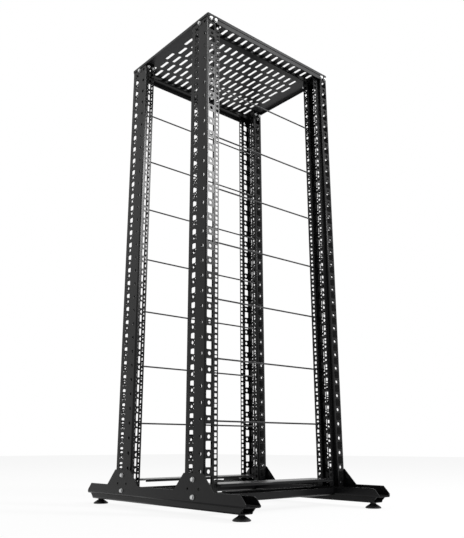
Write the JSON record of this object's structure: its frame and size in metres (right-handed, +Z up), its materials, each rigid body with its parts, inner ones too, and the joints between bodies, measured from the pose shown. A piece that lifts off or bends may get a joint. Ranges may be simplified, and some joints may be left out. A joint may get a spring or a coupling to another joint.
{
  "type": "four post open frame rack",
  "caption": "Free standing open frame equipment rack: perforated folded posts, slotted top panel, channel feet, tie rods and levelling pads.",
  "frame": {"origin": "on the floor, under the middle of the rack", "axes": "+X to the right seen from the front, +Y to the back, +Z up"},
  "size_m": [0.57, 0.772, 1.5154],
  "materials": {
    "black_coat": "satin black powder coat on folded steel sheet",
    "rod_black": "satin black coated steel rod",
    "foot_black": "semi gloss black levelling foot"
  },
  "bodies": {
    "root": {"front_left_post": "black_coat", "front_right_post": "black_coat", "rear_left_post": "black_coat", "rear_right_post": "black_coat", "top_panel": "black_coat", "top_front_crossbar": "black_coat", "top_rear_crossbar": "black_coat", "bottom_front_crossbar": "black_coat", "bottom_rear_crossbar": "black_coat", "front_tie_channel": "black_coat", "rear_tie_channel": "black_coat", "left_foot_beam": "black_coat", "right_foot_beam": "black_coat", "left_foot_channel": "black_coat", "right_foot_channel": "black_coat", "front_left_foot": "foot_black", "front_right_foot": "foot_black", "rear_left_foot": "foot_black", "rear_right_foot": "foot_black", "front_tie_rod_1": "rod_black", "front_tie_rod_2": "rod_black", "front_tie_rod_3": "rod_black", "front_tie_rod_4": "rod_black", "front_tie_rod_5": "rod_black", "front_tie_rod_6": "rod_black", "front_tie_rod_7": "rod_black", "rear_tie_rod_1": "rod_black", "rear_tie_rod_2": "rod_black", "rear_tie_rod_3": "rod_black", "rear_tie_rod_4": "rod_black", "rear_tie_rod_5": "rod_black", "rear_tie_rod_6": "rod_black", "rear_tie_rod_7": "rod_black"}
  },
  "joints": []
}
